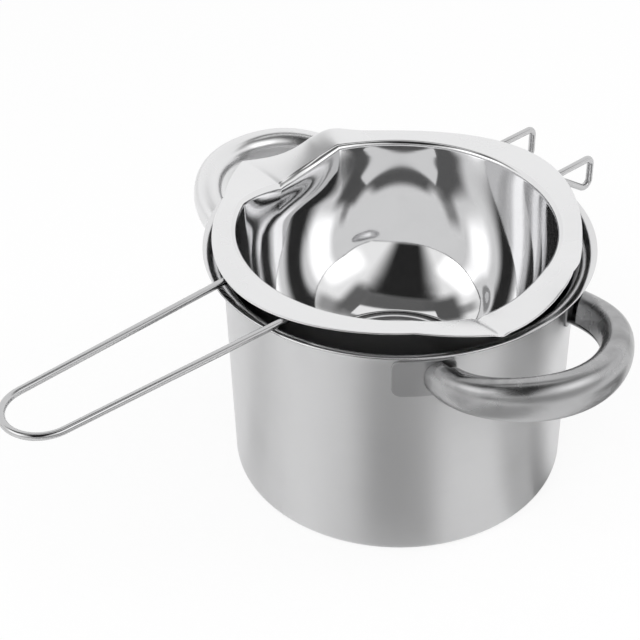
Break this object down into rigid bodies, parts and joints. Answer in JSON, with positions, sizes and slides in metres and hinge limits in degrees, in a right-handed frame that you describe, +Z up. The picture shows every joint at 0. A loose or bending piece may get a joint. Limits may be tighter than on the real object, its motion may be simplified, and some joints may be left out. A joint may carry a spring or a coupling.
{
  "type": "double boiler",
  "caption": "Stainless double boiler: a straight pot with loop handles, and a loose melting bowl with pouring spouts, hung on its rim by a wire handle and wire hooks.",
  "frame": {"origin": "centre of the pot's flat base", "axes": "+Z up, -X along the wire handle as it lies, near enough; the pot's loop handles point along +Y and -Y"},
  "size_m": [0.288, 0.2268, 0.1142],
  "materials": {
    "satin_steel": "satin, brushed round the wall",
    "polished_steel": "polished stainless steel",
    "mirror_steel": "stainless steel, mirror polished inside with a satin flange",
    "wire_steel": "bright drawn stainless wire"
  },
  "bodies": {
    "pot": {"pot_body": "satin_steel", "front_handle": "polished_steel", "back_handle": "polished_steel", "front_left_plate": "satin_steel", "front_right_plate": "satin_steel", "back_left_plate": "satin_steel", "back_right_plate": "satin_steel"},
    "bowl": {"melting_bowl": "mirror_steel", "wire_handle": "wire_steel", "near_hook": "wire_steel", "far_hook": "wire_steel"}
  },
  "joints": [
    {"name": "bowl_lift", "type": "slide", "parent": "pot", "child": "bowl", "axis": [0, 0, 1], "range_m": [0, 0.12]}
  ]
}
